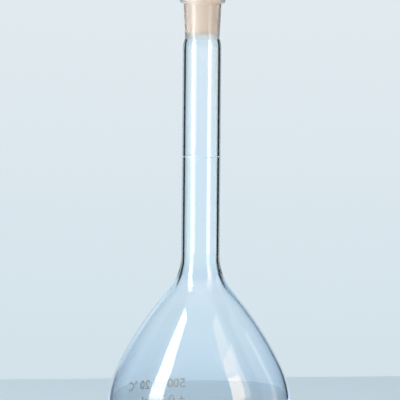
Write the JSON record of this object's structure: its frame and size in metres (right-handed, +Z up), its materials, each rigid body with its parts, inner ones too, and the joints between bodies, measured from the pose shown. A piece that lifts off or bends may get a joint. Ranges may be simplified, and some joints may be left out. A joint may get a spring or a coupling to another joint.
{
  "type": "volumetric flask",
  "caption": "Pear-shaped glass volumetric flask with a long straight neck, a graduation ring, a ground socket and a hollow octagonal plastic stopper.",
  "frame": {"origin": "centre of the foot, on the bench it stands on", "axes": "+Z up the neck, +Y to the back, where the print is on the bulb, +X to the right"},
  "size_m": [0.1, 0.1, 0.274],
  "materials": {
    "borosilicate_glass": "fire-polished, clear",
    "ground_glass": "ground inside, fire-polished outside",
    "fired_enamel": "fired line",
    "moulded_polyethylene": "natural, satin as moulded"
  },
  "bodies": {
    "flask": {"bulb": "borosilicate_glass", "neck_tube": "borosilicate_glass", "ground_socket": "ground_glass", "graduation_ring": "fired_enamel"},
    "stopper": {"stopper": "moulded_polyethylene"}
  },
  "joints": [
    {"name": "stopper_lift", "type": "slide", "parent": "flask", "child": "stopper", "axis": [0, 0, 1], "range_m": [0, 0.05]}
  ]
}
